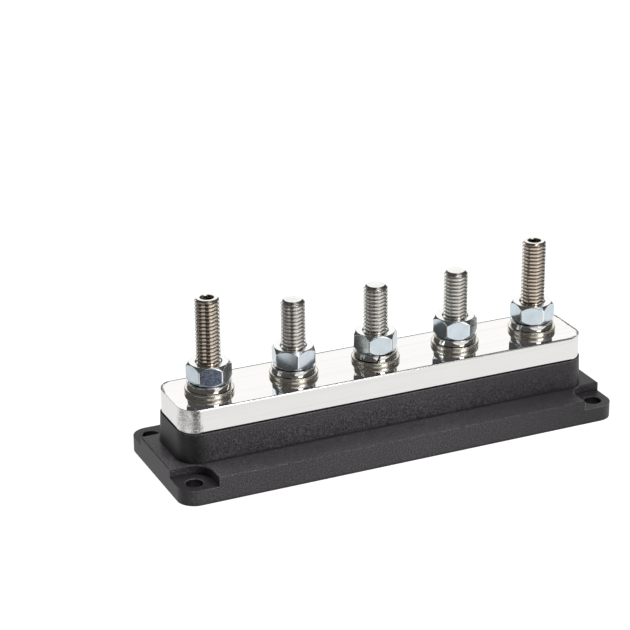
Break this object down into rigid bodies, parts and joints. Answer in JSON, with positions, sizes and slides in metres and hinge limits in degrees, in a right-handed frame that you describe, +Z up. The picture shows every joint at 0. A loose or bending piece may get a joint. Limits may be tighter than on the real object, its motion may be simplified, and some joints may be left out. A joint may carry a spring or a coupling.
{
  "type": "bus bar",
  "caption": "Power distribution bus bar: a solid tinned bar on a black moulded base, with a row of threaded terminal studs, nuts and washers.",
  "frame": {"origin": "middle of the base's underside", "axes": "+X along the bar, +Z up along the studs"},
  "size_m": [0.1552, 0.05, 0.0582],
  "materials": {
    "black_nylon": "fine moulded grain",
    "tinned_copper": "bright tin plate",
    "stud_stainless": "rolled thread",
    "bolt_stainless": "rolled thread",
    "zinc_plate": "bluish bright zinc",
    "washer_stainless": "rolled and stamped",
    "spring_steel": "dark polished"
  },
  "bodies": {
    "base_assembly": {"base_moulding": "black_nylon", "bus_bar": "tinned_copper", "end_stud_left": "stud_stainless", "end_stud_right": "stud_stainless", "captive_nut_left": "zinc_plate", "captive_nut_right": "zinc_plate", "stud_bolt_2": "bolt_stainless", "stud_bolt_3": "bolt_stainless", "stud_bolt_4": "bolt_stainless"},
    "washers_1": {"flat_washer_1": "washer_stainless", "spring_washer_1": "spring_steel"},
    "nut_1": {"terminal_nut_1": "zinc_plate"},
    "washers_2": {"flat_washer_2": "washer_stainless", "spring_washer_2": "spring_steel"},
    "nut_2": {"terminal_nut_2": "zinc_plate"},
    "washers_3": {"flat_washer_3": "washer_stainless", "spring_washer_3": "spring_steel"},
    "nut_3": {"terminal_nut_3": "zinc_plate"},
    "washers_4": {"flat_washer_4": "washer_stainless", "spring_washer_4": "spring_steel"},
    "nut_4": {"terminal_nut_4": "zinc_plate"},
    "washers_5": {"flat_washer_5": "washer_stainless", "spring_washer_5": "spring_steel"},
    "nut_5": {"terminal_nut_5": "zinc_plate"}
  },
  "joints": [
    {"name": "washer_lift_1", "type": "slide", "parent": "base_assembly", "child": "washers_1", "axis": [0, 0, 1], "range_m": [0, 0.02]},
    {"name": "nut_turn_1", "type": "hinge", "parent": "washers_1", "child": "nut_1", "pos_m": [-0.05848, 0, 0.033], "axis": [0, 0, 1], "range_deg": [0, 5760]},
    {"name": "washer_lift_2", "type": "slide", "parent": "base_assembly", "child": "washers_2", "axis": [0, 0, 1], "range_m": [0, 0.015]},
    {"name": "nut_turn_2", "type": "hinge", "parent": "washers_2", "child": "nut_2", "pos_m": [-0.02924, 0, 0.033], "axis": [0, 0, 1], "range_deg": [0, 4320]},
    {"name": "washer_lift_3", "type": "slide", "parent": "base_assembly", "child": "washers_3", "axis": [0, 0, 1], "range_m": [0, 0.015]},
    {"name": "nut_turn_3", "type": "hinge", "parent": "washers_3", "child": "nut_3", "pos_m": [0, 0, 0.033], "axis": [0, 0, 1], "range_deg": [0, 4320]},
    {"name": "washer_lift_4", "type": "slide", "parent": "base_assembly", "child": "washers_4", "axis": [0, 0, 1], "range_m": [0, 0.015]},
    {"name": "nut_turn_4", "type": "hinge", "parent": "washers_4", "child": "nut_4", "pos_m": [0.02924, 0, 0.033], "axis": [0, 0, 1], "range_deg": [0, 4320]},
    {"name": "washer_lift_5", "type": "slide", "parent": "base_assembly", "child": "washers_5", "axis": [0, 0, 1], "range_m": [0, 0.02]},
    {"name": "nut_turn_5", "type": "hinge", "parent": "washers_5", "child": "nut_5", "pos_m": [0.05848, 0, 0.033], "axis": [0, 0, 1], "range_deg": [0, 5760]}
  ],
  "couplings": [
    {"joint": "washer_lift_1", "follows": "nut_turn_1", "m_per_rad": 0.00019894},
    {"joint": "washer_lift_2", "follows": "nut_turn_2", "m_per_rad": 0.00019894},
    {"joint": "washer_lift_3", "follows": "nut_turn_3", "m_per_rad": 0.00019894},
    {"joint": "washer_lift_4", "follows": "nut_turn_4", "m_per_rad": 0.00019894},
    {"joint": "washer_lift_5", "follows": "nut_turn_5", "m_per_rad": 0.00019894}
  ]
}
